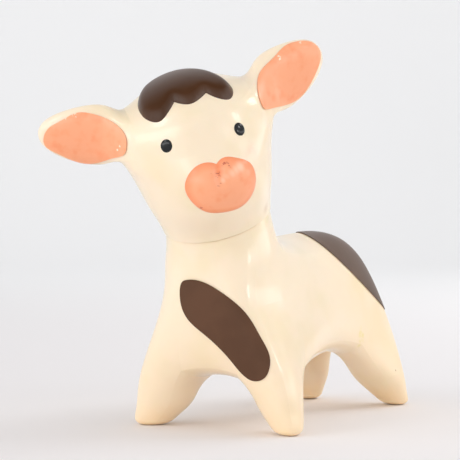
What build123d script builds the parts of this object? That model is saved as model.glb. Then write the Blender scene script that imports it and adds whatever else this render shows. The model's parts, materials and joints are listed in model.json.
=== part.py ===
from build123d import *
import math
import os

import numpy as np

# A hollow soft-vinyl calf on four splayed legs, with a head that turns on the neck.
# Millimetres. The calf faces -Y, its left side is +X, and its soles stand on Z = 0.
# Each skin is the smooth limit of a cage of four-sided cells, so sizes of a form are its cage's sizes.

# Trunk
TRUNK_LENGTH = 95.0
CHEST_HALF_WIDTH = 29.0
FLANK_HALF_WIDTH = 16.3
BACK_HALF_WIDTH = 12.3
BELLY_HEIGHT = 22.0
BACK_HEIGHT = 56.6
FLANK_RISE_SHARE = 0.578
CHEST_BULGE = 2.1
RUMP_BULGE = 3.0
BACK_CROWN = 4.2

# Trunk lines at five stations: chest, behind the forelegs, waist, before the hind legs, rump
BELLY_PLACE_SHARES = (-0.49, -0.29, 0.0, 0.17, 0.51)
BELLY_HEIGHT_SHARES = (0.68, 0.71, 0.90, 0.86, 0.93)
BELLY_WIDTH_SHARES = (1.0, 0.81, 0.67, 0.59, 0.63)
BELLY_COLUMN_SHARE = 0.33
FLANK_PLACE_SHARES = (-0.51, -0.26, 0.0, 0.21, 0.44)
FLANK_HEIGHT_SHARES = (0.88, 0.98, 1.02, 0.99, 0.885)
FLANK_WIDTH_SHARES = (0.91, 1.0, 0.98, 0.94, 0.71)
FLANK_COLUMN_SHARE = 0.40
# The back's line starts behind the neck, at the waist
BACK_PLACE_SHARES = (-0.05, 0.18, 0.35)
BACK_HEIGHT_SHARES = (0.95, 1.0, 0.925)
BACK_WIDTH_SHARES = (1.0, 0.80, 0.73)
BACK_COLUMN_SHARE = 0.45

# Legs: each sole's middle from the trunk's middle, then rings from the belly down to the foot.
# A skewed ring is longer towards the outer front corner than across it.
FRONT_STANCE = 23.0
FRONT_SOLE_PLACE = -39.0
HIND_STANCE = 16.3
HIND_SOLE_PLACE = 44.5
FOOT_HALF_WIDTH = 5.2
FOOT_TUCK = 1.15
FRONT_HEIGHT_SHARES = (0.36, 0.17)
FRONT_STANCE_SHARES = (0.82, 0.95, 1.0)
FRONT_PLACE_SHARES = (0.94, 0.98, 1.0)
FRONT_LEG_SHARES = (1.55, 1.13, 0.82)
FRONT_SKEW_SHARE = 0.15
HIND_HEIGHT_SHARES = (0.50, 0.20)
HIND_STANCE_SHARES = (0.81, 0.93, 1.0)
HIND_PLACE_SHARES = (0.79, 0.92, 1.0)
HIND_LEG_SHARES = (1.85, 1.06, 0.86)
HIND_SKEW_SHARE = 0.0

# Tail, cast with the rump: rings from its root out and down to the tip
TAIL_LENGTH = 10.0
TAIL_REACH = 12.0
TAIL_HALF_WIDTH = 3.0
TAIL_REACH_SHARES = (0.22, 0.60, 0.90, 1.0)
TAIL_DROP_SHARES = (0.18, 0.17, 0.50, 1.0)
TAIL_BEND_SHARES = (-0.40, 0.22, 0.67, 0.94)
TAIL_WIDTH_SHARES = (1.0, 0.90, 0.87, 0.70)

# Neck and seam: the head turns on the leaned axis through the seam's middle
NECK_RADIUS = 15.1
NECK_LEAN = 26.0
SEAM_PLACE = -39.7
SEAM_HEIGHT = 60.1
SEAM_GAP = 0.3
NECK_BASE_PLACE = -37.9
NECK_BASE_HEIGHT = 49.4
NECK_BASE_HALF_WIDTH = 18.9
NECK_BASE_DEPTH = 15.6
NECK_BASE_LEAN = 16.0
NECK_LEAD = 3.0
NECK_OVERLAP = 6.0

# Head, in its own frame: Z along the neck's axis from the seam, face towards -Y
HEAD_TURN = 42.0
HEAD_HEIGHT = 44.0
HEAD_HALF_WIDTH = 25.0
FACE_DEPTH = 18.5
NAPE_DEPTH = 22.5
MUZZLE_BULGE = 6.6
JAW_LEAD = 2.5
JAW_FLARE_SHARE = 1.03
TEMPLE_LIFT = 1.8
# Rings at five levels: jaw, muzzle, eyes, brow, crown
HEAD_LEVEL_SHARES = (0.20, 0.45, 0.60, 0.82, 0.935)
HEAD_WIDTH_SHARES = (0.80, 0.89, 1.0, 0.785, 0.41)
FACE_SHARES = (1.0, 0.985, 1.0, 0.92, 0.57)
NAPE_SHARES = (0.88, 0.945, 1.0, 0.89, 0.58)
MUZZLE_SHARES = (0.67, 1.0, 0.13, 0.0, 0.0)

# Ears, cast with the head: rings from the root to the tip, and the right one is a little slimmer
EAR_REACH = 42.2
EAR_SETBACK = 9.0
EAR_HALF_WIDTH = 9.5
EAR_HALF_THICKNESS = 4.0
EAR_SWEEP_ANGLE = 13.0
EAR_RISE_ANGLE = 15.0
EAR_REACH_SHARES = (0.56, 0.80, 1.0)
EAR_LEVEL_SHARES = (0.73, 0.786, 0.84)
EAR_SETBACK_SHARES = (0.52, 0.71, 1.0)
LEFT_EAR_SHARES = (1.14, 0.97, 0.42)
RIGHT_EAR_SHARES = (1.11, 0.90, 0.36)
EAR_THICKNESS_SHARES = (1.0, 0.85, 0.60)

# Hollow vinyl and the swivel: the body's beaded stub holds the head by the lip of its neck hole
VINYL_WALL = 2.0
STUB_RADIUS = 9.0
STUB_CLEARANCE = 0.08
BEAD_RADIUS = 10.8
BEAD_HEIGHT = 2.2

# Coats: paint lies on the vinyl, and the hair is a thick raised layer
COAT_GAP = 0.08
PAINT_THICKNESS = 0.2
HAIR_THICKNESS = 1.4

# Eyes, seen along the face: leaning in towards each other, the pair a little rolled and off the middle
EYE_WIDTH = 2.5
EYE_HEIGHT = 3.3
EYE_SPACING = 10.15
EYE_OFFSET = -0.25
EYE_LEVEL_SHARE = 0.682
EYE_TILT = 28.0
EYE_ROLL = -3.5

# Muzzle field seen along the face: from the notch between its two upper lobes, round by the left
MUZZLE_WIDTH = 20.0
MUZZLE_HEIGHT = 15.0
MUZZLE_OFFSET = 1.0
MUZZLE_LEVEL_SHARE = 0.386
MUZZLE_NOTCH_SHARES = (-0.01, 0.44)
MUZZLE_ROUND_SHARES = (
    (0.13, 0.50), (0.28, 0.42), (0.44, 0.25), (0.49, -0.05), (0.40, -0.34), (0.20, -0.50),
    (-0.05, -0.49), (-0.30, -0.39), (-0.47, -0.10), (-0.50, 0.16), (-0.40, 0.39), (-0.21, 0.51),
)

# Ear linings: a leaf on the ear's flat, from the cheek out to the tip
LINING_LENGTH = 24.0
LINING_WIDTH = 15.0
LINING_SETBACK_SHARE = 0.71
LEFT_LINING_SHARES = (
    (-0.04, 0.11), (0.03, 0.30), (0.19, 0.45), (0.44, 0.49), (0.65, 0.52), (0.85, 0.42), (1.0, 0.21),
    (1.02, 0.02), (0.90, -0.20), (0.72, -0.39), (0.53, -0.51), (0.28, -0.38), (0.07, -0.12),
)
RIGHT_LINING_SHARES = (
    (0.02, 0.08), (0.06, 0.27), (0.19, 0.39), (0.42, 0.48), (0.60, 0.48), (0.78, 0.33), (0.92, 0.18),
    (0.98, 0.02), (0.97, -0.19), (0.83, -0.33), (0.68, -0.45), (0.51, -0.53), (0.33, -0.45), (0.17, -0.27),
    (0.05, -0.12),
)

# Hair: a footprint seen along the neck's axis, three scallops in front and swept to the right behind
HAIR_HALF_WIDTH = 13.0
HAIR_FRONT = 13.0
HAIR_LEFT_SHARES = ((0.90, -0.36), (0.92, -0.55), (0.75, -0.82), (0.54, -0.84), (0.33, -0.71))
HAIR_MIDDLE_SHARES = ((0.33, -0.71), (0.13, -0.84), (-0.07, -0.88), (-0.25, -0.80), (-0.36, -0.68))
HAIR_RIGHT_SHARES = ((-0.36, -0.68), (-0.53, -0.80), (-0.73, -0.84), (-0.96, -0.66), (-1.06, -0.38))
HAIR_BACK_SHARES = ((-1.06, -0.38), (-1.02, 0.12), (-0.70, 0.62), (-0.10, 0.68), (0.45, 0.35), (0.90, -0.36))

# Chest spot: a bean seen from the front, from the upper right to the lower left of the chest
SPOT_LENGTH = 35.0
SPOT_WIDTH = 14.0
SPOT_OFFSET = 8.1
SPOT_LEVEL = 30.1
SPOT_SLOPE = -46.0
SPOT_SHARES = (
    (-0.50, 0.02), (-0.40, 0.28), (-0.20, 0.46), (0.02, 0.50), (0.25, 0.36), (0.45, 0.14),
    (0.50, -0.12), (0.43, -0.40), (0.20, -0.44), (-0.08, -0.46), (-0.28, -0.51), (-0.45, -0.30),
)

# Rump patch, behind the neck: the skin above one plane, which runs slantwise from the back to the left flank
PATCH_LIFT = 3.3
PATCH_SLOPE = 28.0
PATCH_FALL = 30.0

# One run for every cut, longer than the whole figure
CUT_RUN = 200.0

# The skin of a ring of eight lies this far out on its cage's ring
RING_FILL_SHARE = (2 + math.cos(math.radians(45))) / 3
FLANK_HEIGHT = BELLY_HEIGHT + FLANK_RISE_SHARE * (BACK_HEIGHT - BELLY_HEIGHT)
RING_ANGLES = [math.radians(-157.5 + 45 * step) for step in range(8)]
NECK_AXIS = (0, -math.sin(math.radians(NECK_LEAN)), math.cos(math.radians(NECK_LEAN)))


class Cage:
    """Four-sided cells in space whose smooth limit surface is a skin."""

    def __init__(self):
        self.points = []
        self.cells = []

    def add(self, points):
        first = len(self.points)
        self.points += [np.array(point, float) for point in points]
        return list(range(first, len(self.points)))

    def join(self, lower, upper):
        """Cells between two rings of as many points."""
        count = len(lower)
        for here in range(count):
            after = (here + 1) % count
            self.cells.append((lower[here], lower[after], upper[after], upper[here]))

    def grow(self, cell, rings):
        """A limb out of one cell, through rings of four points, closed at its end."""
        for points in rings:
            ring = self.add(points)
            self.join(cell, ring)
            cell = ring
        self.cells.append(tuple(cell))


def eight(centre, half_width, front, back, lean=0.0, push=0.0):
    """A ring of eight points round an axis that leans forward, pushed out at its two front points."""
    angle = math.radians(lean)
    forward = np.array([0, -math.cos(angle), -math.sin(angle)])
    points = []
    for turn in RING_ANGLES:
        depth = front if math.cos(turn) > 0 else back
        reach = depth * math.cos(turn) + (push if abs(turn) < math.radians(45) else 0)
        points.append(np.array(centre) + np.array([half_width * math.sin(turn), 0, 0]) + forward * reach)
    return points


def four(centre, up, across):
    """A ring of four points about a centre."""
    centre, up, across = np.array(centre), np.array(up), np.array(across)
    return [centre - up - across, centre - up + across, centre + up + across, centre + up - across]


def mirrored(points):
    return [point * np.array([-1, 1, 1]) for point in points]


def columns(half_width, column):
    return (-half_width, -column * half_width, column * half_width, half_width)


def leg_rings(side, stance, place, height_shares, stance_shares, place_shares, leg_shares, skew, foot):
    """Rings of one leg from the belly down; foot is the height of the last."""
    heights = [foot + share * BELLY_HEIGHT for share in height_shares] + [foot]
    rings = []
    for out, along, thick, height in zip(stance_shares, place_shares, leg_shares, heights):
        half = thick * FOOT_HALF_WIDTH
        centre = (side * out * stance, along * place, height)
        slant = -side * skew * half
        rings.append(four(centre, (half, slant, 0), (slant, half, 0)))
    return rings


def seam_point(height):
    """A point on the neck's axis, so far above the seam."""
    return (0, SEAM_PLACE + height * NECK_AXIS[1], SEAM_HEIGHT + height * NECK_AXIS[2])


def body_cage(foot=-FOOT_TUCK, with_tail=True):
    cage = Cage()
    belly = []
    flank = []
    for station in range(5):
        place = BELLY_PLACE_SHARES[station] * TRUNK_LENGTH
        height = BELLY_HEIGHT_SHARES[station] * BELLY_HEIGHT
        half = BELLY_WIDTH_SHARES[station] * CHEST_HALF_WIDTH
        belly.append(cage.add([(x, place, height) for x in columns(half, BELLY_COLUMN_SHARE)]))
    for station in range(5):
        place = FLANK_PLACE_SHARES[station] * TRUNK_LENGTH
        height = FLANK_HEIGHT_SHARES[station] * FLANK_HEIGHT
        half = FLANK_WIDTH_SHARES[station] * FLANK_HALF_WIDTH
        bulge = {0: -CHEST_BULGE, 4: RUMP_BULGE}.get(station)
        if bulge is None:
            flank.append(cage.add([(-half, place, height), (half, place, height)]))
        else:
            xs = columns(half, FLANK_COLUMN_SHARE)
            ys = (place, place + bulge, place + bulge, place)
            flank.append(cage.add([(x, y, height) for x, y in zip(xs, ys)]))
    base = cage.add(eight((0, NECK_BASE_PLACE, NECK_BASE_HEIGHT), NECK_BASE_HALF_WIDTH,
                          NECK_BASE_DEPTH, NECK_BASE_DEPTH, NECK_BASE_LEAN))
    back = [[base[2], base[3], base[4], base[5]], [base[1], base[0], base[7], base[6]]]
    for station in range(3):
        place = BACK_PLACE_SHARES[station] * TRUNK_LENGTH
        height = BACK_HEIGHT_SHARES[station] * BACK_HEIGHT
        xs = columns(BACK_WIDTH_SHARES[station] * BACK_HALF_WIDTH, BACK_COLUMN_SHARE)
        zs = (height - BACK_CROWN, height, height, height - BACK_CROWN)
        back.append(cage.add([(x, place, z) for x, z in zip(xs, zs)]))

    chest, rump = flank[0], flank[4]
    for column in range(3):
        beside = column + 1
        cage.cells.append((belly[0][column], belly[0][beside], chest[beside], chest[column]))
        cage.cells.append((chest[column], chest[beside], back[0][beside], back[0][column]))
        cage.cells.append((belly[4][beside], belly[4][column], rump[column], rump[beside]))
        root = (rump[beside], rump[column], back[4][column], back[4][beside])
        if column == 1 and with_tail:
            cage.grow(root, tail_rings())
        else:
            cage.cells.append(root)
    for station in range(4):
        after = station + 1
        cage.cells.append((belly[station][3], belly[after][3], flank[after][-1], flank[station][-1]))
        cage.cells.append((flank[station][-1], flank[after][-1], back[after][3], back[station][3]))
        cage.cells.append((belly[after][0], belly[station][0], flank[station][0], flank[after][0]))
        cage.cells.append((flank[after][0], flank[station][0], back[station][0], back[after][0]))
    for station in (1, 2, 3):
        for column in range(3):
            near, far = back[station], back[station + 1]
            cage.cells.append((near[column], near[column + 1], far[column + 1], far[column]))

    front = (FRONT_STANCE, FRONT_SOLE_PLACE, FRONT_HEIGHT_SHARES, FRONT_STANCE_SHARES,
             FRONT_PLACE_SHARES, FRONT_LEG_SHARES, FRONT_SKEW_SHARE)
    hind = (HIND_STANCE, HIND_SOLE_PLACE, HIND_HEIGHT_SHARES, HIND_STANCE_SHARES,
            HIND_PLACE_SHARES, HIND_LEG_SHARES, HIND_SKEW_SHARE)
    legs = {0: front, 3: hind}
    for station in range(4):
        near, far = belly[station], belly[station + 1]
        for column in range(3):
            cell = (near[column], far[column], far[column + 1], near[column + 1])
            if station in legs and column != 1:
                cage.grow(cell, leg_rings(column - 1, *legs[station], foot))
            else:
                cage.cells.append(cell)

    ring = base
    for height in (-NECK_LEAD, NECK_OVERLAP):
        radius = NECK_RADIUS / RING_FILL_SHARE
        upper = cage.add(eight(seam_point(height), radius, radius, radius, NECK_LEAN))
        cage.join(ring, upper)
        ring = upper
    cage.cells.append((ring[2], ring[3], ring[0], ring[1]))
    cage.cells.append((ring[3], ring[4], ring[7], ring[0]))
    cage.cells.append((ring[4], ring[5], ring[6], ring[7]))
    return cage


def tail_rings():
    """Rings of the tail, which bends down behind the rump."""
    root = (FLANK_PLACE_SHARES[4] + BACK_PLACE_SHARES[2]) / 2 * TRUNK_LENGTH
    height = (FLANK_HEIGHT_SHARES[4] * FLANK_HEIGHT + BACK_HEIGHT_SHARES[2] * BACK_HEIGHT) / 2
    rings = []
    tables = zip(TAIL_REACH_SHARES, TAIL_DROP_SHARES, TAIL_BEND_SHARES, TAIL_WIDTH_SHARES)
    for reach, drop, bend, width in tables:
        half = width * TAIL_HALF_WIDTH
        centre = (0, root + reach * TAIL_REACH, height - drop * TAIL_LENGTH)
        tilt = bend * math.radians(90)
        up = (0, half * math.sin(tilt), half * math.cos(tilt))
        rings.append(four(centre, up, (-half, 0, 0)))
    return rings


def ear_axes():
    """Along, across the flat and through the left ear, towards its lining."""
    sweep, rise = math.radians(EAR_SWEEP_ANGLE), math.radians(EAR_RISE_ANGLE)
    along = np.array([math.cos(sweep) * math.cos(rise), math.sin(sweep) * math.cos(rise), math.sin(rise)])
    through = np.array([math.sin(sweep), -math.cos(sweep), 0])
    return along, np.cross(along, -through), through


def ear_middle(share):
    """Middle of the left ear's ring at the share numbered so, from the root."""
    return np.array([
        EAR_REACH * EAR_REACH_SHARES[share],
        EAR_SETBACK * EAR_SETBACK_SHARES[share],
        HEAD_HEIGHT * EAR_LEVEL_SHARES[share],
    ])


def ear_rings(width_shares):
    """Rings of an ear that reaches out to the left."""
    up, through = ear_axes()[1:]
    rings = []
    for number in range(3):
        high = up * EAR_HALF_WIDTH * width_shares[number]
        thick = through * EAR_HALF_THICKNESS * EAR_THICKNESS_SHARES[number]
        rings.append(four(ear_middle(number), high, -thick))
    return rings


def head_cage(with_ears=True):
    cage = Cage()
    radius = NECK_RADIUS / RING_FILL_SHARE
    jaw = radius * JAW_FLARE_SHARE
    rings = [
        cage.add(eight((0, 0, -NECK_OVERLAP), radius, radius, radius)),
        cage.add(eight((0, 0, JAW_LEAD), jaw, jaw, jaw)),
    ]
    tables = zip(HEAD_LEVEL_SHARES, HEAD_WIDTH_SHARES, FACE_SHARES, NAPE_SHARES, MUZZLE_SHARES)
    for level, width, face, nape, muzzle in tables:
        rings.append(cage.add(eight((0, 0, level * HEAD_HEIGHT), width * HEAD_HALF_WIDTH, face * FACE_DEPTH,
                                    nape * NAPE_DEPTH, push=muzzle * MUZZLE_BULGE)))
    left = ear_rings(LEFT_EAR_SHARES)
    right = [[ring[1], ring[0], ring[3], ring[2]] for ring in map(mirrored, ear_rings(RIGHT_EAR_SHARES))]
    # The ears grow out of the cells between the eyes and the brow; the right temple is higher behind its ear
    ears = len(rings) - 3
    cage.points[rings[ears + 1][1]][2] += TEMPLE_LIFT
    for level in range(len(rings) - 1):
        lower, upper = rings[level], rings[level + 1]
        for here in range(8):
            after = (here + 1) % 8
            cell = (lower[here], lower[after], upper[after], upper[here])
            if with_ears and level == ears and here == 5:
                cage.grow(cell, left)
            elif with_ears and level == ears and here == 1:
                cage.grow(cell, right)
            else:
                cage.cells.append(cell)
    crown = cage.add([(0, 0, HEAD_HEIGHT)])[0]
    top = rings[-1]
    for here in (0, 2, 4, 6):
        cage.cells.append((crown, top[here - 1], top[here], top[(here + 1) % 8]))
    end = rings[0]
    cage.cells.append((end[1], end[0], end[3], end[2]))
    cage.cells.append((end[0], end[7], end[4], end[3]))
    cage.cells.append((end[7], end[6], end[5], end[4]))
    return cage


def valences(cage):
    count = np.zeros(len(cage.points))
    for cell in cage.cells:
        for corner in cell:
            count[corner] += 1
    return count


def offset(cage, distance):
    """The same cage with its skin moved so far out along its own normals."""
    points = np.array(cage.points)
    count = valences(cage)
    limit = np.zeros((len(points), len(points)))
    for cell in cage.cells:
        for here in range(4):
            corner, after, across, before = (cell[(here + step) % 4] for step in range(4))
            spread = count[corner] * (count[corner] + 5)
            limit[corner, corner] += count[corner] / spread
            limit[corner, [after, before]] += 2 / spread
            limit[corner, across] += 1 / spread
    skin = limit @ points
    normals = np.zeros_like(points)
    for cell in cage.cells:
        first, second, third, last = skin[list(cell)]
        for corner in cell:
            normals[corner] += np.cross(third - first, last - second)
    normals /= np.linalg.norm(normals, axis=1)[:, None]
    moved = Cage()
    moved.points = list(points + np.linalg.solve(limit, distance * normals))
    moved.cells = cage.cells
    return moved


def skin_solid(cage):
    """The solid inside a cage's skin: one bicubic patch for each cell, sewn edge to edge."""
    points = np.array(cage.points)
    count = valences(cage)
    inner, beside, around = {}, {}, {}
    for number, cell in enumerate(cage.cells):
        for here in range(4):
            corner, after, across, before = (cell[(here + step) % 4] for step in range(4))
            weight = count[corner]
            blend = weight * points[corner] + 2 * points[after] + 2 * points[before] + points[across]
            inner[number, corner] = blend / (weight + 5)
            beside.setdefault(frozenset((corner, after)), []).append(number)
            around.setdefault(corner, []).append(number)

    def vertex(corner):
        return sum(inner[number, corner] for number in around[corner]) / len(around[corner])

    def edge(corner, other):
        pair = beside[frozenset((corner, other))]
        return sum(inner[number, corner] for number in pair) / len(pair)

    faces = []
    for number, (a, b, c, d) in enumerate(cage.cells):
        grid = [
            [vertex(a), edge(a, b), edge(b, a), vertex(b)],
            [edge(a, d), inner[number, a], inner[number, b], edge(b, c)],
            [edge(d, a), inner[number, d], inner[number, c], edge(c, b)],
            [vertex(d), edge(d, c), edge(c, d), vertex(c)],
        ]
        faces.append(Face.make_bezier_surface([[tuple(map(float, point)) for point in row] for row in grid]))
    return Solid(Shell(faces))


def above(plane, distance=0.0):
    """A block that fills the space over a plane."""
    block = Box(CUT_RUN, CUT_RUN, CUT_RUN, align=(Align.CENTER, Align.CENTER, Align.MIN))
    return plane.location * Pos(0, 0, distance) * block


def disc(plane, radius, low, high):
    """A round block about a plane's axis, between two heights."""
    block = Cylinder(radius, high - low, align=(Align.CENTER, Align.CENTER, Align.MIN))
    return plane.location * Pos(0, 0, low) * block


def layer(cage, thickness):
    """A coat all over a skin."""
    return skin_solid(offset(cage, COAT_GAP + thickness)) - skin_solid(offset(cage, COAT_GAP))


def prism(plane, outline):
    """The space in front of a plane within an outline drawn on it."""
    return extrude(plane.location * make_face(outline), CUT_RUN, plane.z_dir)


def body_shell():
    """Trunk, legs, tail and beaded neck stub, hollow down to the feet."""
    seam = Plane(seam_point(0), x_dir=(1, 0, 0), z_dir=NECK_AXIS)
    skin = skin_solid(body_cage()) & above(Plane.XY)
    skin -= above(seam, -SEAM_GAP / 2)
    cavity = skin_solid(offset(body_cage(VINYL_WALL, with_tail=False), -VINYL_WALL))
    cavity -= above(seam, -SEAM_GAP / 2 - VINYL_WALL)
    low = -SEAM_GAP / 2 - VINYL_WALL / 2
    lip_top = SEAM_GAP / 2 + VINYL_WALL
    bead_low = lip_top + SEAM_GAP
    stub = disc(seam, STUB_RADIUS, low, bead_low + BEAD_HEIGHT)
    bead = disc(seam, BEAD_RADIUS, bead_low, bead_low + BEAD_HEIGHT)
    bead = fillet(bead.edges().filter_by(GeomType.CIRCLE), BEAD_HEIGHT / 3)
    bore = disc(seam, STUB_RADIUS - VINYL_WALL, -CUT_RUN / 10, CUT_RUN / 10)
    return skin - cavity + stub + bead - bore


def head_shell():
    """Head and ears, hollow, with a lip round the neck hole. In the head's own frame."""
    skin = skin_solid(head_cage()) & above(Plane.XY, SEAM_GAP / 2)
    cavity = skin_solid(offset(head_cage(with_ears=False), -VINYL_WALL))
    cavity &= above(Plane.XY, SEAM_GAP / 2 + VINYL_WALL)
    hole = disc(Plane.XY, STUB_RADIUS + STUB_CLEARANCE, -NECK_OVERLAP, HEAD_HEIGHT / 2)
    return skin - cavity - hole


FACE_PLANE = Plane((0, 0, 0), x_dir=(1, 0, 0), z_dir=(0, -1, 0))


def eye_outline(side):
    oval = Ellipse(EYE_WIDTH / 2, EYE_HEIGHT / 2).edge()
    pair = Pos(EYE_OFFSET, EYE_LEVEL_SHARE * HEAD_HEIGHT) * Rot(0, 0, EYE_ROLL)
    return pair * Pos(side * EYE_SPACING, 0) * Rot(0, 0, side * EYE_TILT) * oval


def muzzle_outline():
    points = [(x * MUZZLE_WIDTH, y * MUZZLE_HEIGHT) for x, y in MUZZLE_ROUND_SHARES]
    notch = (MUZZLE_NOTCH_SHARES[0] * MUZZLE_WIDTH, MUZZLE_NOTCH_SHARES[1] * MUZZLE_HEIGHT)
    return Pos(MUZZLE_OFFSET, MUZZLE_LEVEL_SHARE * HEAD_HEIGHT) * Spline(notch, *points, notch)


def ear_lining(coat, shares, mirrored_ear=False):
    """The painted leaf in one ear."""
    along, up, through = ear_axes()
    middle = ear_middle(1)
    plane = Plane(tuple(middle), x_dir=tuple(along), z_dir=tuple(through))
    start = -LINING_SETBACK_SHARE * LINING_LENGTH
    points = [(start + x * LINING_LENGTH, y * LINING_WIDTH) for x, y in shares]
    block = prism(plane, Spline(*points, periodic=True))
    if mirrored_ear:
        block = mirror(block, Plane.YZ)
    return coat & block


def hair_outline():
    runs = []
    for shares in (HAIR_LEFT_SHARES, HAIR_MIDDLE_SHARES, HAIR_RIGHT_SHARES, HAIR_BACK_SHARES):
        runs.append(Spline(*[(x * HAIR_HALF_WIDTH, y * HAIR_FRONT) for x, y in shares]))
    return Curve() + runs


def chest_outline():
    points = [(x * SPOT_LENGTH, y * SPOT_WIDTH) for x, y in SPOT_SHARES]
    return Pos(SPOT_OFFSET, SPOT_LEVEL) * Rot(0, 0, SPOT_SLOPE) * Spline(*points, periodic=True)


def build():
    """All nodes by name, each where it stands on the finished calf."""
    head = head_cage()
    paint = layer(head, PAINT_THICKNESS)
    crown = Plane.XY.offset(HEAD_LEVEL_SHARES[2] * HEAD_HEIGHT)
    hair = layer(head, HAIR_THICKNESS) & prism(crown, hair_outline())
    on_head = {
        "head_shell": head_shell(),
        "hair_cap": hair,
        "muzzle_coat": paint & prism(FACE_PLANE, muzzle_outline()),
        "left_ear_coat": ear_lining(paint, LEFT_LINING_SHARES),
        "right_ear_coat": ear_lining(paint, RIGHT_LINING_SHARES, mirrored_ear=True),
        "left_eye_coat": paint & prism(FACE_PLANE, eye_outline(1)),
        "right_eye_coat": paint & prism(FACE_PLANE, eye_outline(-1)),
    }
    coat = layer(body_cage(), PAINT_THICKNESS)
    slope, fall = math.tan(math.radians(PATCH_SLOPE)), math.tan(math.radians(PATCH_FALL))
    top = (0, 0, BACK_HEIGHT + PATCH_LIFT)
    behind = Plane((0, NECK_BASE_PLACE + NECK_BASE_DEPTH, 0), z_dir=(0, 1, 0))
    over = Plane(top, x_dir=(0, 1, -slope), z_dir=(fall, slope, 1))
    on_body = {
        "body_shell": body_shell(),
        "chest_spot_coat": coat & prism(FACE_PLANE.offset(-FRONT_SOLE_PLACE), chest_outline()),
        "rump_patch_coat": coat & above(over) & above(behind),
    }
    seat = Location(seam_point(0)) * Rot(NECK_LEAN, 0, 0) * Rot(0, 0, HEAD_TURN)
    nodes = dict(on_body)
    for name, shape in on_head.items():
        nodes[name] = seat * shape
    return nodes


def main():
    nodes = build()
    box = Compound(children=[Compound(shape.solids()) for shape in nodes.values()]).bounding_box()
    middle = box.center()
    home = Pos(-middle.X, -middle.Y, 0)
    os.makedirs("parts", exist_ok=True)
    for name, shape in nodes.items():
        placed = home * shape
        print(name, "solids", len(placed.solids()), "volume", round(placed.volume, 1))
        export_step(placed, f"parts/{name}.step")
    print("size", box.size, "moved by", home.position)
    print("neck axis through", home.position + Vector(*seam_point(0)))


if __name__ == "__main__":
    main()
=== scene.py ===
import json
import math

import bmesh
import bpy
from mathutils import Matrix, Vector
from mathutils.bvhtree import BVHTree
from mathutils.geometry import delaunay_2d_cdt
from mathutils.kdtree import KDTree


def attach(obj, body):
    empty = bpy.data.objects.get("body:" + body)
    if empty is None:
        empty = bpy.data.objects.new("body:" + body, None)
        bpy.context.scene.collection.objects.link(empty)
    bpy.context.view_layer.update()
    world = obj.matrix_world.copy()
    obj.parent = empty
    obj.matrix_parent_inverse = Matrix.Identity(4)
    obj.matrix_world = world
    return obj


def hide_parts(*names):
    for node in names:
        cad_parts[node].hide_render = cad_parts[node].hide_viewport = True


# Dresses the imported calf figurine: glossy cream vinyl, painted coats, a raised forelock, a plain pale stage.
# Metres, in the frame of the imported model: the calf faces -Y, its left side is +X, it stands on Z = 0.

bl_info = {
    "name": "Calf Figurine",
    "version": (1, 0, 0),
    "blender": (4, 5, 0),
    "location": "View3D > Sidebar > Calf",
    "description": "Finishes and stage for a soft-vinyl calf figurine with a turning head",
    "category": "Object",
}

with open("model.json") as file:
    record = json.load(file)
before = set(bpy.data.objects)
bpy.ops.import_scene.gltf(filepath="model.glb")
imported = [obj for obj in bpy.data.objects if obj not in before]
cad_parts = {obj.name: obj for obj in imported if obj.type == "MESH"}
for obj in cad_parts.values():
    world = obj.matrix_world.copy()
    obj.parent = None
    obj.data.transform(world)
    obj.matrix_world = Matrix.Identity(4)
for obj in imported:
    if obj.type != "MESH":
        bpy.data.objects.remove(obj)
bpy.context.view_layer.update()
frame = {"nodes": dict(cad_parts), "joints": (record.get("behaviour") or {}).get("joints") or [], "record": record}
MM = 0.001
NECK = Vector(frame["joints"][0]["axis"])
SMOOTH = "SMOOTHSTEP"

# Meshing of the raised pieces: spacing of their points, in shares of it the height of a row of points and how
# far they stay from the border, then how deep a piece reaches into the skin, and the rounds of smoothing.
HAIR_STEP, MUZZLE_STEP, EYE_STEP = 0.45 * MM, 0.30 * MM, 0.16 * MM
ROW_SHARE, CLEAR_SHARE = 0.866, 0.6
SINK = 0.1 * MM
SMOOTH_ROUNDS = 6

# The forelock's lift over its CAD layer, how full its roll is, and how much of the roll is shiny.
HAIR_LIFT_SHARE, HAIR_FULL, HAIR_SHEEN_SHARE = 1.25, 0.8, 0.55
# The muzzle's groove runs down between these two places and fades towards the second one.
GROOVE_TOP, GROOVE_END = (18.9, -50.4, 75.4), (19.7, -50.0, 70.2)
GROOVE_WIDTH, GROOVE_FADE_SHARE = 1.1 * MM, 0.6
# How far in from the border the lobes rise, the paint's rim is rounded, and the least paint in the groove.
LOBE_RUN, MUZZLE_RIM, MUZZLE_LEAST = 2.5 * MM, 0.6 * MM, 0.1 * MM
# How far in from its border each eye is rounded, and how far it reaches past its painted oval.
EYE_RIM, EYE_GROW = 1.2 * MM, 0.15 * MM
# Rows of points round the rim of each sole.
SOLE_ROWS = 6
# How much paler the clouds in the brown and in the black are.
BROWN_PALE, BLACK_PALE = 1.18, 1.6

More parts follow.
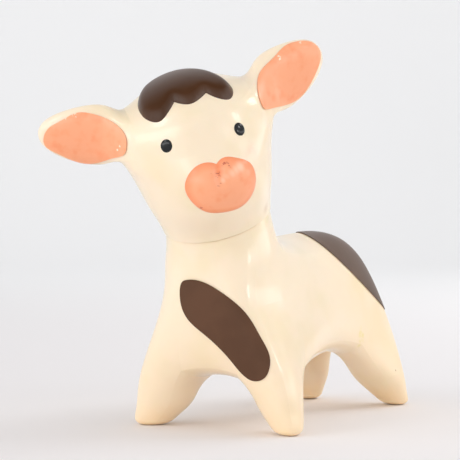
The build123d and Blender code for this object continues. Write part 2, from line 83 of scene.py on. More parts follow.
# Marks on the skin and the paint: places and reaches, in millimetres.
STAINS = ((21.7, 30.5, 24.4, 5.0), (21.5, 30.2, 21.5, 4.0))
SMUDGE = ((24.6, -41.7, 78.4, 5.0),)
SMEAR = ((21.1, -27.6, 63.1, 2.8),)
DIRT = ((25.7, 46.2, 11.9, 1.6), (12.8, -51.4, 64.6, 1.4))
HAIR_DUST = ((8.4, -44.7, 100.0, 0.4),)
MUZZLE_FLECKS = ((20.8, -48.7, 75.1, 3.2), (21.3, -48.4, 74.3, 2.4), (17.8, -51.6, 72.3, 2.2),
                 (19.5, -50.4, 72.3, 2.4), (19.4, -50.0, 69.2, 3.0), (17.3, -51.2, 68.1, 2.2),
                 (17.8, -49.4, 65.3, 0.8), (13.9, -50.3, 63.5, 2.6))
# The next places lay a painted highlight: a streak of paler peach on the lobe beside the groove.
MUZZLE_HIGHLIGHT = ((23.2, -45.9, 74.3, 2.4), (22.5, -46.9, 73.5, 2.2), (21.9, -47.9, 72.7, 2.0),
               (21.1, -48.7, 71.7, 1.7), (20.4, -49.4, 70.7, 1.4))
# The next places lay painted shade: deeper peach down the groove.
MUZZLE_GROOVE_SHADE = ((19.2, -50.3, 74.6, 1.8), (19.5, -50.2, 73.0, 1.5))
EAR_FLECKS = ((-8.3, -56.7, 80.0, 1.2), (-9.3, -56.4, 79.1, 1.2), (-22.8, -61.9, 88.3, 2.6),
              (-20.4, -61.0, 88.6, 2.2), (24.1, -26.0, 105.4, 2.0), (24.4, -25.7, 104.6, 1.4),
              (27.7, -19.9, 109.5, 1.6))

# Lamps round the calf: turn to its left and height angle, distance and size in metres, power in watts,
# and whether the lamp leaves a highlight.
LAMPS = (
    ("side_strip", 112.0, 9.0, 0.80, (1.00, 0.16), 0.85, True),
    ("side_low", 73.0, 7.0, 0.80, (0.10, 0.10), 0.30, True),
    ("side_middle", 92.0, 25.0, 0.80, (0.12, 0.12), 0.35, True),
    ("side_high", 125.0, 39.0, 0.80, (0.14, 0.14), 0.45, True),
    ("side_fill", 120.0, 45.0, 0.90, (0.60, 0.60), 0.80, False),
    ("back_fill", 155.0, 28.0, 0.90, (0.60, 0.40), 2.00, False),
    ("front_left", -20.0, 27.0, 0.80, (0.18, 0.18), 0.50, True),
    ("front_fill", -55.0, 12.0, 0.90, (0.60, 0.30), 1.00, False),
    ("front_low", -12.0, 4.5, 0.90, (0.90, 0.20), 1.60, True),
)
LAMP_AIM = (5.0, 0.0, 55.0)
# One more lamp lights the backdrop; it faces a point this far behind the calf and above the floor, in metres.
BACKDROP_LAMP = ("backdrop", 31.0, 35.0, 1.10, (1.60, 0.40), 3.2, True)
BACKDROP_BEHIND, BACKDROP_ABOVE = 1.7, 0.35
# The light from all round: the turn of its brightest side, and its shares of the fill away from it and there.
FILL_TURN, FILL_LOW_SHARE, FILL_HIGH_SHARE = -30.0, 0.5, 1.6


def colour(code):
    """A linear colour from an sRGB hex value."""
    shares = [int(code[place:place + 2], 16) / 255 for place in (1, 3, 5)]
    return tuple(s / 12.92 if s <= 0.04045 else ((s + 0.055) / 1.055) ** 2.4 for s in shares)


def opaque(value):
    """A colour with full alpha."""
    return (*value, 1.0)


def spot(x, y, z):
    """A place on the calf, from millimetres."""
    return (x * MM, y * MM, z * MM)


def tint(name, code, description):
    """A colour that a user may change."""
    return bpy.props.FloatVectorProperty(name=name, description=description, subtype="COLOR",
                                         min=0.0, max=1.0, default=colour(code))


def length(name, millimetres, description):
    """A length that a user may change."""
    return bpy.props.FloatProperty(name=name, description=description, unit="LENGTH", subtype="DISTANCE",
                                   default=millimetres * MM, precision=5)


def share(name, value, description):
    """A number from 0 to 1 that a user may change."""
    return bpy.props.FloatProperty(name=name, description=description, subtype="FACTOR",
                                   min=0.0, max=1.0, default=value)


def angle(name, degrees, description):
    """An angle that a user may change."""
    return bpy.props.FloatProperty(name=name, description=description, subtype="ANGLE", unit="ROTATION",
                                   default=math.radians(degrees))


class CalfVinyl(bpy.types.PropertyGroup):
    """Finish of the two mouldings."""
    cream: tint("Cream", "#FCE8CC", "Colour of the vinyl")
    # Deep Cream is painted shade and warm bounce light, laid low on the legs, over the hind legs and in the
    # hollows.
    deep_and_shade: tint("Deep Cream", "#FFD9A6", "Colour of the vinyl where it is thick, or low on the legs")
    yellowed: tint("Yellowed", "#F6E0A0", "Colour of the faint yellow stain on the thigh")
    blush: tint("Blush", "#FBDCC2", "Colour of the faint smudge under the left eye")
    aged: tint("Aged Cream", "#F1DFB6", "Colour of the soft clouds that age leaves in the vinyl")
    grime: tint("Grime", "#B48A58", "Colour of small dirt marks")
    gloss: share("Roughness", 0.30, "Roughness of the moulded skin")
    worn_gloss: share("Worn Roughness", 0.42, "Roughness of the skin over the hind legs, where it is held")
    coat: share("Polish", 0.5, "Weight of the clear polish on the skin")
    worn_coat: share("Worn Polish", 0.04, "Weight of the polish over the hind legs")
    aged_share: share("Aged Share", 0.5, "How far the clouds of age replace the cream")
    # Strengths of the painted shade: at the soles, over the hind legs, and in the hollows.
    painted_shade_low: share("Warm Legs", 0.28, "How warm the vinyl is at the soles")
    painted_shade_rear: share("Warm Rear", 0.25, "How warm the vinyl is over the hind legs")
    painted_shade_hollows: share("Warm Hollows", 0.45, "How warm the vinyl is in its hollows")
    sole_round: length("Sole Round", 1.9, "Radius of the rim of each sole")
    mottle: length("Mottle", 14.0, "Distance between soft clouds of colour")
    ripple: length("Ripple", 6.0, "Distance between the skin's faint waves")
    # Painted shade: Hollow is the size of the hollows it fills, Warm Height how far up the legs it reaches, and
    # Rear also how far back it grows to full over the hind legs.
    hollow: length("Hollow", 8.0, "Size of the hollows that look warmer")
    painted_shade_height: length("Warm Height", 44.0, "How far up the legs the warmer colour reaches")
    rear: length("Rear", 40.0, "How far behind the middle the skin is fully worn")


class CalfPaint(bpy.types.PropertyGroup):
    """Finish and thickness of the painted fields."""
    hair: tint("Hair Brown", "#482D1B", "Colour of the forelock")
    field: tint("Spot Brown", "#5C4131", "Colour of the chest spot")
    patch: tint("Patch Brown", "#5A4436", "Colour of the rump patch")
    peach: tint("Peach", "#FFAD82", "Colour of the muzzle and the ear linings")
    # Deep Peach is also laid down the muzzle's groove as painted shade.
    peach_deep_and_shade: tint("Deep Peach", "#FA8F5E", "Colour of the peach where the brush left it thick")
    # Thin Peach is a painted highlight: paler peach along one stroke on the muzzle.
    peach_highlight: tint("Thin Peach", "#FFD0B0", "Colour of the peach where it is worn thin")
    scuff: tint("Scuff", "#C8664A", "Colour of the worn specks on the muzzle")
    dust: tint("Dust", "#A89C94", "Colour of a speck of dust in the hair")
    black: tint("Eye Black", "#0E1114", "Colour of the eyes")
    brush: length("Brush Mark", 3.0, "Distance between brush marks in the peach")
    mist: length("Mist", 12.0, "Distance between soft clouds in the sprayed brown")
    spray: length("Spray", 0.3, "Distance between the grains of the sprayed brown")
    rim: length("Rim", 2.0, "Width of the deeper rim of the muzzle's paint")
    head_turn: angle("Head Turn", 42.0, "How far the head is turned to the calf's left")
    hair_roll: length("Hair Roll", 2.6, "How far in from its border the forelock is rounded")
    muzzle_swell: length("Muzzle Swell", 1.3, "How far the muzzle's two lobes stand up")
    muzzle_groove: length("Muzzle Groove", 1.6, "Depth of the groove between the lobes")
    eye_swell: length("Eye Swell", 0.40, "How far each eye stands up")


class CalfStage(bpy.types.PropertyGroup):
    """Floor, lamps and camera."""
    # Floor is the paper's colour near the calf, a little darker and warmer than the backdrop: painted shade round
    # the calf.
    floor: tint("Floor", "#F1EEEF", "Colour of the paper under the calf")
    backdrop: tint("Backdrop", "#F4F4F5", "Colour of the paper far behind the calf")
    aim: bpy.props.FloatVectorProperty(name="Aim", description="Point that the camera looks at",
                                       subtype="XYZ", unit="LENGTH", default=spot(-9.51, 3.85, 56.1))
    turn: angle("Turn", 31.0, "Camera's turn to the calf's left")
    rise: angle("Rise", 1.2, "Camera's height angle")
    distance: length("Distance", 550.0, "From the camera to its aim")
    view: length("View", 139.0, "Width of the view at the aim")
    fill: bpy.props.FloatProperty(name="Fill", description="Strength of the light from all round", min=0.0,
                                  default=0.54)


def add(tree, kind, inputs=None, out=0, **settings):
    """Adds a shader node and gives one output; an input takes a value, or the socket that feeds it."""
    node = tree.nodes.new(kind)
    for name, value in settings.items():
        setattr(node, name, value)
    for name, value in (inputs or {}).items():
        if isinstance(value, bpy.types.NodeSocket):
            tree.links.new(value, node.inputs[name])
        else:
            node.inputs[name].default_value = value
    return node.outputs[out] if node.outputs else None


def new_material(name):
    """An empty material, its node tree and the place socket that its patterns use."""
    material = bpy.data.materials.new(name)
    material.use_nodes = True
    tree = material.node_tree
    tree.nodes.clear()
    return material, tree, add(tree, "ShaderNodeTexCoord", out="Object")


def surface(tree, inputs):
    """The surface shader and the material's output."""
    add(tree, "ShaderNodeOutputMaterial", {"Surface": add(tree, "ShaderNodeBsdfPrincipled", inputs)})


def layered(tree, base, layers):
    """A base colour with others laid over it, each through its own mask."""
    paint = opaque(base)
    for mask, over in layers:
        paint = add(tree, "ShaderNodeMix", {0: mask, 6: paint, 7: opaque(over)}, 2, data_type="RGBA")
    return paint


def clouds(tree, place, size, detail=2.0, flat=1.0):
    """Soft noise of a real size, squeezed in height where it should lie flat."""
    if flat != 1.0:
        place = add(tree, "ShaderNodeVectorMath", {0: place, 1: (1.0, 1.0, flat)}, operation="MULTIPLY")
    return add(tree, "ShaderNodeTexNoise", {"Vector": place, "Scale": 1 / size, "Detail": detail})


def close_to(tree, place, spots):
    """A mask that falls from 1 at given places to 0 at their reach, all in millimetres."""
    total = 0.0
    for x, y, z, reach in spots:
        away = add(tree, "ShaderNodeVectorMath", {0: place, 1: spot(x, y, z)}, "Value", operation="DISTANCE")
        near = add(tree, "ShaderNodeMapRange", {"Value": away, "From Max": reach * MM,
                                                "To Min": 1.0, "To Max": 0.0})
        total = add(tree, "ShaderNodeMath", {0: near, 1: total}, operation="MAXIMUM")
    return total


def worn(tree, place, spots, grain, low, high, flat=1.0):
    """A mask of broken flecks of a real size, close to given places."""
    flecks = add(tree, "ShaderNodeMath", {0: close_to(tree, place, spots),
                                          1: clouds(tree, place, grain, flat=flat)}, operation="MULTIPLY")
    return add(tree, "ShaderNodeMapRange", {"Value": flecks, "From Min": low, "From Max": high},
               interpolation_type=SMOOTH)


# Cream soft PVC, cast in a heated turning mould: an even glossy skin with soft-edged highlights, a little
# light inside it, faint clouds of colour, a warmer cream low down, behind and in the hollows that is painted
# shade and bounce light, duller behind, a few marks.
def cream_vinyl(values):
    material, tree, place = new_material("cream_soft_vinyl")
    along = add(tree, "ShaderNodeSeparateXYZ", {"Vector": place}).node.outputs

    # Painted shade: a deeper, warmer cream low on the legs, over the hind legs and in the hollows that ambient
    # occlusion finds, standing in for the shade and warm bounce light there.
    low = add(tree, "ShaderNodeMapRange", {"Value": along["Z"], "From Max": values.painted_shade_height,
                                           "To Min": values.painted_shade_low, "To Max": 0.0},
              interpolation_type=SMOOTH)
    rear = add(tree, "ShaderNodeMapRange", {"Value": along["Y"], "From Max": values.rear,
                                            "To Max": values.painted_shade_rear}, interpolation_type=SMOOTH)
    painted_light_mask = add(tree, "ShaderNodeAmbientOcclusion", {"Distance": values.hollow}, "AO", samples=8)
    hollow = add(tree, "ShaderNodeMapRange", {"Value": painted_light_mask, "To Min": values.painted_shade_hollows, "To Max": 0.0})
    warm = add(tree, "ShaderNodeMath", {0: low, 1: rear}, operation="MAXIMUM")
    warm = add(tree, "ShaderNodeMath", {0: warm, 1: hollow}, operation="ADD", use_clamp=True)

    aged = add(tree, "ShaderNodeMapRange", {"Value": clouds(tree, place, values.mottle), "From Min": 0.42,
                                            "From Max": 0.72, "To Max": values.aged_share},
               interpolation_type=SMOOTH)
    smear = add(tree, "ShaderNodeMapRange", {"Value": close_to(tree, place, SMEAR), "From Min": 0.1,
                                             "To Max": 0.3}, interpolation_type=SMOOTH)
    skin = layered(tree, values.cream, (
        (aged, values.aged),
        (warm, values.deep_and_shade),
        (worn(tree, place, STAINS, 2 * MM, 0.25, 0.50), values.yellowed),
        (worn(tree, place, SMUDGE, 4 * MM, 0.1, 0.6), values.blush),
        (smear, values.grime),
        (worn(tree, place, DIRT, 0.8 * MM, 0.34, 0.60), values.grime),
    ))

    dull = add(tree, "ShaderNodeMapRange", {"Value": along["Y"], "From Max": values.rear,
                                            "To Min": values.gloss, "To Max": values.worn_gloss})
    coat = add(tree, "ShaderNodeMapRange", {"Value": along["Y"], "From Max": values.rear,
                                            "To Min": values.coat, "To Max": values.worn_coat})
    bump = add(tree, "ShaderNodeBump", {"Height": clouds(tree, place, values.ripple, 1.0), "Strength": 0.06,
                                        "Distance": 0.3 * MM})
    surface(tree, {"Base Color": skin, "Roughness": dull, "IOR": 1.52, "Subsurface Weight": 0.12,
                   "Subsurface Radius": (1.0, 0.5, 0.25), "Subsurface Scale": 2 * MM, "Coat Weight": coat,
                   "Coat Roughness": 0.08, "Normal": bump})
    return material


# Brown vinyl paint, sprayed through a mask: matt to satin, close to even, paler where seen along the surface.
# The forelock has a shinier roll and a speck of dust besides. The spray's grain is drawn coarser than it is,
# so that it shows.
def brown_paint(values, name, base, roughness, reflect, sheen, dust=(), roll=0.0):
    material, tree, place = new_material(name)
    light = add(tree, "ShaderNodeMapRange", {"Value": clouds(tree, place, values.mist, 3.0), "From Min": 0.35,
                                             "From Max": 0.70}, interpolation_type=SMOOTH)
    layers = [(light, [value * BROWN_PALE for value in base])]
    if dust:
        speck = add(tree, "ShaderNodeMapRange", {"Value": close_to(tree, place, dust), "From Max": 0.5},
                    interpolation_type=SMOOTH)
        layers.append((speck, values.dust))
    turned = add(tree, "ShaderNodeLayerWeight", {"Blend": 0.5}, "Facing")
    satin = add(tree, "ShaderNodeMapRange", {"Value": turned, "From Min": 0.28, "From Max": 0.80,
                                             "To Max": sheen}, interpolation_type=SMOOTH)
    if roll:
        inset = add(tree, "ShaderNodeAttribute", out="Fac", attribute_name="inset")
        border = add(tree, "ShaderNodeMapRange", {"Value": inset, "From Max": roll, "To Min": 0.9,
                                                  "To Max": 0.0})
        satin = add(tree, "ShaderNodeMath", {0: satin, 1: border}, operation="MAXIMUM")
    bump = add(tree, "ShaderNodeBump", {"Height": clouds(tree, place, values.spray), "Strength": 0.06,
                                        "Distance": 0.1 * MM})
    surface(tree, {"Base Color": layered(tree, base, layers), "Roughness": roughness,
                   "Specular IOR Level": reflect, "Coat Weight": satin, "Coat Roughness": roughness,
                   "Normal": bump})
    return material


# Peach vinyl paint, laid on by brush: satin, deeper where the strokes are thick, worn off in small flecks.
# On the muzzle it is deeper at its rim, with deeper peach down the groove as painted shade, and paler
# peach along one stroke as a painted highlight.
def peach_paint(values, name, flecks, grain, fleck_colour, flat=1.0, painted_highlight=(), groove_shade=()):
    material, tree, place = new_material(name)
    strokes = clouds(tree, place, values.brush)
    brushed = add(tree, "ShaderNodeMapRange", {"Value": strokes, "From Min": 0.45, "From Max": 0.80,
                                               "To Max": 0.5}, interpolation_type=SMOOTH)
    layers = [(brushed, values.peach_deep_and_shade)]
    # On the muzzle: a deeper rim, deeper peach down the groove as painted shade, and paler peach along one stroke
    # as a painted highlight.
    if painted_highlight:
        inset = add(tree, "ShaderNodeAttribute", out="Fac", attribute_name="inset")
        rim = add(tree, "ShaderNodeMapRange", {"Value": inset, "From Max": values.rim, "To Min": 0.8,
                                               "To Max": 0.0})
        deep_and_shade = add(tree, "ShaderNodeMath", {0: rim, 1: close_to(tree, place, groove_shade)}, operation="MAXIMUM")
        painted_light_mask = add(tree, "ShaderNodeMapRange", {"Value": close_to(tree, place, painted_highlight), "From Min": 0.1,
                                                "From Max": 0.8, "To Max": 0.7}, interpolation_type=SMOOTH)
        layers += [(deep_and_shade, values.peach_deep_and_shade), (painted_light_mask, values.peach_highlight)]
    layers.append((worn(tree, place, flecks, grain, 0.36, 0.48, flat), fleck_colour))
    bump = add(tree, "ShaderNodeBump", {"Height": strokes, "Strength": 0.10, "Distance": 0.2 * MM})
    surface(tree, {"Base Color": layered(tree, values.peach, layers), "Roughness": 0.30, "IOR": 1.5,
                   "Normal": bump})
    return material


# Blue-black gloss paint, one drop from a pad: smooth, wet-looking, a little rounded.
def black_paint(values):
    material, tree, place = new_material("black_gloss_paint")
    pale = [value * BLACK_PALE for value in values.black]
    paint = layered(tree, values.black, [(clouds(tree, place, 1.5 * MM), pale)])
    surface(tree, {"Base Color": paint, "Roughness": 0.10, "IOR": 1.42})
    return material


# Matt white paper, milled: no gloss, a faint tooth, drawn coarser than it is, so that it shows.
def white_paper(values):
    material, tree, place = new_material("matt_white_paper")
    # Painted shade: the paper is a little darker and warmer near the calf, and takes the backdrop's colour a metre
    # off.
    away = add(tree, "ShaderNodeVectorMath", {0: place}, "Value", operation="LENGTH")
    far = add(tree, "ShaderNodeMapRange", {"Value": away, "From Min": 0.15, "From Max": 1.0},
              interpolation_type=SMOOTH)
    tooth = add(tree, "ShaderNodeBump", {"Height": clouds(tree, place, 0.8 * MM), "Strength": 0.02,
                                         "Distance": 0.1 * MM})
    surface(tree, {"Base Color": layered(tree, values.floor, [(far, values.backdrop)]), "Roughness": 0.9,
                   "Specular IOR Level": 0.2, "Normal": tooth})
    return material


def show(name, data):
    """A new object in the scene."""
    shown = bpy.data.objects.new(name, data)
    bpy.context.scene.collection.objects.link(shown)
    return shown


def dress(name, material):
    """Gives a CAD node its material."""
    slots = frame["nodes"][name].data.materials
    slots.clear()
    slots.append(material)


def stand_in(piece, node, body, material):
    """Puts a finished piece in its CAD node's place."""
    piece.data.materials.append(material)
    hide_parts(node)
    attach(piece, body)


def head_axes(values):
    """The head's own axes at rest: to its left, along its face, and up its neck."""
    lean = math.atan2(-NECK.y, NECK.z)
    seat = Matrix.Rotation(lean, 3, "X") @ Matrix.Rotation(values.head_turn, 3, "Z")
    return seat @ Vector((1, 0, 0)), seat @ Vector((0, -1, 0)), seat @ Vector((0, 0, 1))


def tree_of(node):
    """A node's faces, to cast rays at."""
    mesh = frame["nodes"][node].data
    return BVHTree.FromPolygons([v.co for v in mesh.vertices], [tuple(p.vertices) for p in mesh.polygons])


def border_of(node, towards):
    """Ordered points of a field's lower border, as it was cut along a direction."""
    sheet = bmesh.new()
    sheet.from_mesh(frame["nodes"][node].data)
    bmesh.ops.remove_doubles(sheet, verts=sheet.verts, dist=0.002 * MM)
    sheet.normal_update()
    inner = {face for face in sheet.faces if face.normal.dot(towards) < -0.1}
    after = {}
    for edge in sheet.edges:
        if len([face for face in edge.link_faces if face in inner]) == 1:
            for here, there in (edge.verts, reversed(edge.verts)):
                after.setdefault(here, []).append(there)
    loops = []
    while after:
        loop, ahead = [], [next(iter(after))]
        while ahead:
            loop.append(ahead[0])
            ahead = [there for there in after.pop(ahead[0]) if there in after]
        loops.append([vert.co.copy() for vert in loop])
    sheet.free()
    return max(loops, key=len)


def even(points, step):
    """The same closed line with evenly set points."""
    runs = [(points[i], points[(i + 1) % len(points)]) for i in range(len(points))]
    whole = sum((b - a).length for a, b in runs)
    count = max(24, round(whole / step))
    out, done, number = [], 0.0, 0
    for a, b in runs:
        size = (b - a).length
        while number < count and number * whole / count <= done + size and size > 0:
            out.append(a.lerp(b, (number * whole / count - done) / size))
            number += 1
        done += size
    return out


def cushion(name, node, carrier, across, towards, step, height, grow=0.0):
    """A raised piece over a painted field, with the field's own border or one set out from it.

    It is lifted along the direction that the field was cut along; height gives the lift from the distance to
    the border, the place across and up the field, and the lift of the field itself.
    """
    up = towards.cross(across).normalized()
    across = up.cross(towards).normalized()
    skin, coat = tree_of(carrier), tree_of(node)
    border = even([Vector((p.dot(across), p.dot(up), 0)) for p in border_of(node, towards)], step)
    middle = sum(border, Vector()) / len(border)
    border = [p + grow * (p - middle).normalized() for p in border]
    between = 4
    near = KDTree(len(border) * between)
    for number, point in enumerate(border):
        ahead = border[(number + 1) % len(border)]
        for part in range(between):
            near.insert(point.lerp(ahead, part / between), between * number + part)
    near.balance()

    def met(x, y, tree):
        start = across * x + up * y + towards * 0.5
        return tree.ray_cast(start, -towards)[0]

    def inside(point):
        point -= grow * (point - middle).normalized()
        return met(point.x, point.y, coat)

    # Rows of points inside the border, set as in equal-sided triangles.
    flat = [Vector((p.x, p.y)) for p in border]
    low = Vector((min(p.x for p in flat), min(p.y for p in flat)))
    high = Vector((max(p.x for p in flat), max(p.y for p in flat)))
    row = 0
    while low.y + row * step * ROW_SHARE < high.y:
        y = low.y + row * step * ROW_SHARE
        x = low.x + (row % 2) * step / 2
        while x < high.x:
            if near.find((x, y, 0))[2] > CLEAR_SHARE * step and inside(Vector((x, y, 0))):
                flat.append(Vector((x, y)))
            x += step
        row += 1
    edges = [(i, (i + 1) % len(border)) for i in range(len(border))]
    flat, _, faces, _, _, _ = delaunay_2d_cdt(flat, edges, [], 1, 1e-9)

    piece = bmesh.new()
    inset = piece.verts.layers.float.new("inset")
    top, base = [], []
    for point in flat:
        foot = met(point.x, point.y, skin)
        away = near.find((point.x, point.y, 0))[2]
        crest = met(point.x, point.y, coat) or foot
        lift = height(away, point.x, point.y, (crest - foot).dot(towards)) if away > 1e-6 else 0.0
        base.append(piece.verts.new(foot - SINK * towards))
        top.append(piece.verts.new(foot + lift * towards))
        top[-1][inset] = away
    for face in faces:
        piece.faces.new([top[i] for i in face])
        piece.faces.new([base[i] for i in reversed(face)])
    sides = [pair for face in faces for pair in zip(face, face[1:] + face[:1])]
    paired = set(sides)
    rim = [(here, there) for here, there in sides if (there, here) not in paired]
    for here, there in rim:
        piece.faces.new([top[there], top[here], base[here], base[there]])
    fixed = {top[i] for pair in rim for i in pair}
    free = [vert for vert in top if vert not in fixed]
    for _ in range(SMOOTH_ROUNDS):
        bmesh.ops.smooth_vert(piece, verts=free, factor=0.5, use_axis_x=True, use_axis_y=True,
                              use_axis_z=True)
    bmesh.ops.recalc_face_normals(piece, faces=piece.faces)
    for face in piece.faces:
        face.smooth = True
    mesh = bpy.data.meshes.new(name)
    piece.to_mesh(mesh)
    piece.free()
    return show(name, mesh)


def rounded(share_in):
    """Height of a quarter round, from 0 at its border to 1."""
    left = 1 - min(share_in, 1.0)
    return math.sqrt(1 - left * left)


def round_soles(radius):
    """The body's skin with the rim of each sole rounded; above the rims the CAD mesh and its normals stay."""
    source = frame["nodes"]["body_shell"].data
    skin = bmesh.new()
    skin.from_mesh(source)
    skin.verts.ensure_lookup_table()
    kept = skin.verts.layers.float_vector.new("kept")
    for loop, corner in zip(source.loops, source.corner_normals):
        skin.verts[loop.vertex_index][kept] += corner.vector
    for row in range(1, SOLE_ROWS + 1):
        low = [face for face in skin.faces if min(vert.co.z for vert in face.verts) < radius]
        near = {part for face in low for part in (face, *face.edges, *face.verts)}
        rise = radius * (1 - math.cos(math.radians(90) * row / SOLE_ROWS))
        bmesh.ops.bisect_plane(skin, geom=list(near), dist=1e-8, plane_co=(0, 0, rise), plane_no=(0, 0, 1))
    soles = [Vector(mount["pos_m"]) for mount in frame["record"]["mounts"]]
    normals = []
    for vert in skin.verts:
        normal = vert[kept].normalized()
        if vert.co.z < radius:
            dip = 1 - vert.co.z / radius
            inward = min((sole - vert.co for sole in soles), key=lambda gap: gap.xy.length)
            inward.z = 0
            across = math.sqrt(max(0.0, 1 - dip * dip))
            vert.co += radius * (1 - across) * inward.normalized()
            normal = (Vector((normal.x, normal.y, 0)) * across - Vector((0, 0, dip))).normalized()
        normals.append(normal)
    mesh = bpy.data.meshes.new("calf_body")
    skin.to_mesh(mesh)
    skin.free()
    for name in ("kept", "custom_normal"):
        if name in mesh.attributes:
            mesh.attributes.remove(mesh.attributes[name])
    mesh.materials.clear()
    mesh.normals_split_custom_set_from_vertices(normals)
    return show("calf_body", mesh)


class CALF_OT_shells(bpy.types.Operator):
    """Cream vinyl on the body and the head"""
    bl_idname = "calf.shells"
    bl_label = "Vinyl Shells"

    def execute(self, context):
        values = context.scene.calf_vinyl
        vinyl = cream_vinyl(values)
        stand_in(round_soles(values.sole_round), "body_shell", "body", vinyl)
        dress("head_shell", vinyl)
        return {"FINISHED"}


class CALF_OT_hair(bpy.types.Operator):
    """A raised forelock, rounded over to a crisp border"""
    bl_idname = "calf.hair"
    bl_label = "Forelock"

    def execute(self, context):
        values = context.scene.calf_paint
        across, _, neck = head_axes(values)

        def height(away, x, y, lift):
            return HAIR_LIFT_SHARE * lift * rounded(away / values.hair_roll) ** HAIR_FULL

        piece = cushion("forelock", "hair_cap", "head_shell", across, neck, HAIR_STEP, height)
        paint = brown_paint(values, "brown_hair_paint", values.hair, roughness=0.38, reflect=0.05, sheen=0.85,
                            dust=HAIR_DUST, roll=HAIR_SHEEN_SHARE * values.hair_roll)
        stand_in(piece, "hair_cap", "head", paint)
        return {"FINISHED"}


class CALF_OT_muzzle(bpy.types.Operator):
    """Peach paint over the muzzle's two lobes, with a soft groove between them"""
    bl_idname = "calf.muzzle"
    bl_label = "Muzzle"

    def execute(self, context):
        values = context.scene.calf_paint
        across, face, _ = head_axes(values)
        up = face.cross(across).normalized()
        top, end = Vector(spot(*GROOVE_TOP)), Vector(spot(*GROOVE_END))
        start = Vector((top.dot(across), top.dot(up)))
        run = Vector((end.dot(across), end.dot(up))) - start

        def height(away, x, y, lift):
            along = max(0.0, min(1.0, (Vector((x, y)) - start).dot(run) / run.length_squared))
            off = (Vector((x, y)) - start - along * run).length
            fade = 1 - GROOVE_FADE_SHARE * along
            groove = values.muzzle_groove * math.exp(-(off / GROOVE_WIDTH) ** 2) * fade
            swell = values.muzzle_swell * (1 - math.exp(-away / LOBE_RUN))
            return max(MUZZLE_LEAST, lift + swell - groove) * rounded(away / MUZZLE_RIM)

        piece = cushion("muzzle", "muzzle_coat", "head_shell", across, face, MUZZLE_STEP, height)
        # The muzzle's paint carries a painted highlight and painted shade in the groove.
        paint = peach_paint(values, "peach_muzzle_paint", MUZZLE_FLECKS, 1.1 * MM, values.scuff, flat=3.0,
                            painted_highlight=MUZZLE_HIGHLIGHT, groove_shade=MUZZLE_GROOVE_SHADE)
        stand_in(piece, "muzzle_coat", "head", paint)
        return {"FINISHED"}


class CALF_OT_ears(bpy.types.Operator):
    """Peach paint in both ears, worn through to the cream in a few flecks"""
    bl_idname = "calf.ears"
    bl_label = "Ear Linings"

    def execute(self, context):
        cream = context.scene.calf_vinyl.cream
        lining = peach_paint(context.scene.calf_paint, "peach_ear_paint", EAR_FLECKS, 0.7 * MM, cream)
        dress("left_ear_coat", lining)
        dress("right_ear_coat", lining)
        return {"FINISHED"}


class CALF_OT_eyes(bpy.types.Operator):
    """Two glossy black eyes, each a low dome"""
    bl_idname = "calf.eyes"
    bl_label = "Eyes"

    def execute(self, context):
        values = context.scene.calf_paint
        across, face, _ = head_axes(values)
        gloss = black_paint(values)

        def height(away, x, y, lift):
            return values.eye_swell * rounded(away / EYE_RIM)

        for side in ("left", "right"):
            node = side + "_eye_coat"
            piece = cushion(side + "_eye", node, "head_shell", across, face, EYE_STEP, height, EYE_GROW)
            stand_in(piece, node, "head", gloss)
        return {"FINISHED"}


class CALF_OT_spots(bpy.types.Operator):
    """Brown spot on the chest and brown patch over the rump"""
    bl_idname = "calf.spots"
    bl_label = "Spots"

    def execute(self, context):
        values = context.scene.calf_paint
        dress("chest_spot_coat", brown_paint(values, "brown_spot_paint", values.field, roughness=0.50,
                                             reflect=0.10, sheen=0.6))
        dress("rump_patch_coat", brown_paint(values, "brown_patch_paint", values.patch, roughness=0.42,
                                             reflect=0.10, sheen=0.45))
        return {"FINISHED"}


def facing(turn, rise):
    """A direction by its turn to the calf's left and its height angle."""
    return Vector((math.sin(turn) * math.cos(rise), -math.cos(turn) * math.cos(rise), math.sin(rise)))


def set_camera(values):
    """The camera at the photograph's viewing angle."""
    towards = facing(values.turn, values.rise)
    data = bpy.data.cameras.new("camera")
    data.sensor_width = 36.0
    data.lens = data.sensor_width * values.distance / values.view
    data.clip_start = 10 * MM
    camera = show("camera", data)
    camera.location = Vector(values.aim) + values.distance * towards
    camera.rotation_euler = towards.to_track_quat("Z", "Y").to_euler()
    bpy.context.scene.camera = camera


def lay_paper(values):
    """A roll of paper, square to the camera, that curves up well behind the calf."""
    near, far, bend, tall, half, steps = 5.0, 1.1, 0.6, 2.0, 4.0, 24
    profile = [(-near, 0.0), (far, 0.0)]
    for step in range(1, steps + 1):
        curl = math.radians(90) * step / steps
        profile.append((far + bend * math.sin(curl), bend * (1 - math.cos(curl))))
    profile.append((far + bend, tall))
    back = -facing(values.turn, 0.0)
    across = Vector((math.cos(values.turn), math.sin(values.turn), 0))
    points = [tuple(side * half * across + run * back + Vector((0, 0, up)))
              for run, up in profile for side in (-1, 1)]
    faces = [(2 * row, 2 * row + 1, 2 * row + 3, 2 * row + 2) for row in range(len(profile) - 1)]
    mesh = bpy.data.meshes.new("paper_sweep")
    mesh.from_pydata(points, [], faces)
    for face in mesh.polygons:
        face.use_smooth = True
    mesh.materials.append(white_paper(values))
    show("paper_sweep", mesh)


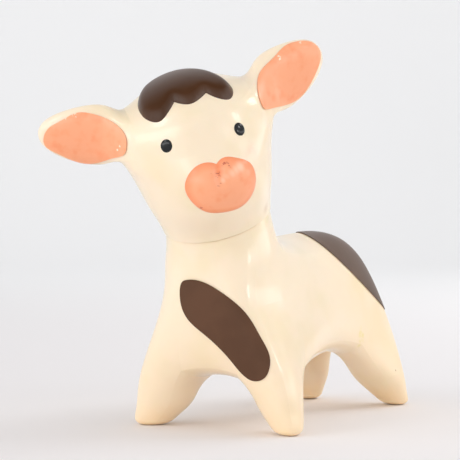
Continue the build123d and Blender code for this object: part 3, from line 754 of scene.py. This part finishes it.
def light_room(values):
    """Soft light from all round, stronger from one side; camera, gloss and glass see the plain backdrop."""
    world = bpy.data.worlds.new("studio")
    world.use_nodes = True
    tree = world.node_tree
    tree.nodes.clear()
    ray = add(tree, "ShaderNodeLightPath").node.outputs
    seen = add(tree, "ShaderNodeMath", {0: ray["Is Camera Ray"], 1: ray["Is Glossy Ray"]}, operation="ADD")
    seen = add(tree, "ShaderNodeMath", {0: seen, 1: ray["Is Transmission Ray"]}, operation="ADD",
               use_clamp=True)
    sky = add(tree, "ShaderNodeTexCoord", out="Generated")
    side = add(tree, "ShaderNodeVectorMath", {0: sky, 1: facing(math.radians(FILL_TURN), 0)}, "Value",
               operation="DOT_PRODUCT")
    level = add(tree, "ShaderNodeMapRange", {"Value": side, "From Min": -1.0,
                                             "To Min": FILL_LOW_SHARE * values.fill,
                                             "To Max": FILL_HIGH_SHARE * values.fill})
    fill = add(tree, "ShaderNodeBackground", {"Color": (1.0, 1.0, 1.0, 1.0), "Strength": level})
    plain = add(tree, "ShaderNodeBackground", {"Color": opaque(values.backdrop), "Strength": 1.0})
    both = add(tree, "ShaderNodeMixShader", {0: seen, 1: fill, 2: plain})
    add(tree, "ShaderNodeOutputWorld", {"Surface": both})
    bpy.context.scene.world = world


def hang_lamp(name, turn, rise, away, size, power, shine, aim=spot(*LAMP_AIM)):
    """A soft lamp that faces a point, by default the calf's middle; without shine it leaves no highlight."""
    data = bpy.data.lights.new(name, "AREA")
    data.shape = "RECTANGLE"
    data.size, data.size_y = size
    data.energy = power
    lamp = show(name, data)
    towards = facing(math.radians(turn), math.radians(rise))
    lamp.location = Vector(aim) + away * towards
    lamp.rotation_euler = towards.to_track_quat("Z", "Y").to_euler()
    lamp.visible_camera = False
    lamp.visible_glossy = shine


class CALF_OT_stage(bpy.types.Operator):
    """A seamless pale floor, soft lamps and the camera"""
    bl_idname = "calf.stage"
    bl_label = "Stage"

    def execute(self, context):
        values = context.scene.calf_stage
        context.scene.view_settings.view_transform = "Standard"
        set_camera(values)
        lay_paper(values)
        light_room(values)
        for row in LAMPS:
            hang_lamp(*row)
        behind = -BACKDROP_BEHIND * facing(values.turn, 0.0) + Vector((0, 0, BACKDROP_ABOVE))
        hang_lamp(*BACKDROP_LAMP, behind)
        return {"FINISHED"}


class CALF_PT_panel(bpy.types.Panel):
    """Lists the calf's pieces and their sizes in the sidebar"""
    bl_idname = "CALF_PT_panel"
    bl_label = "Calf Figurine"
    bl_space_type = "VIEW_3D"
    bl_region_type = "UI"
    bl_category = "Calf"

    def draw(self, context):
        for step in STEPS:
            self.layout.operator(step.bl_idname)
        for group in GROUPS:
            box = self.layout.box()
            for name in GROUPS[group].__annotations__:
                box.prop(getattr(context.scene, group), name)


GROUPS = {"calf_vinyl": CalfVinyl, "calf_paint": CalfPaint, "calf_stage": CalfStage}
STEPS = (CALF_OT_shells, CALF_OT_hair, CALF_OT_muzzle, CALF_OT_ears, CALF_OT_eyes, CALF_OT_spots,
         CALF_OT_stage)


def register():
    for kind in (*GROUPS.values(), *STEPS, CALF_PT_panel):
        bpy.utils.register_class(kind)
    for name, kind in GROUPS.items():
        setattr(bpy.types.Scene, name, bpy.props.PointerProperty(type=kind))


def unregister():
    for name in GROUPS:
        delattr(bpy.types.Scene, name)
    for kind in reversed((*GROUPS.values(), *STEPS, CALF_PT_panel)):
        bpy.utils.unregister_class(kind)


def main():
    register()
    bpy.ops.calf.shells()
    bpy.ops.calf.hair()
    bpy.ops.calf.muzzle()
    bpy.ops.calf.ears()
    bpy.ops.calf.eyes()
    bpy.ops.calf.spots()
    bpy.ops.calf.stage()
    bpy.context.view_layer.update()


if __name__ == "__main__":
    main()
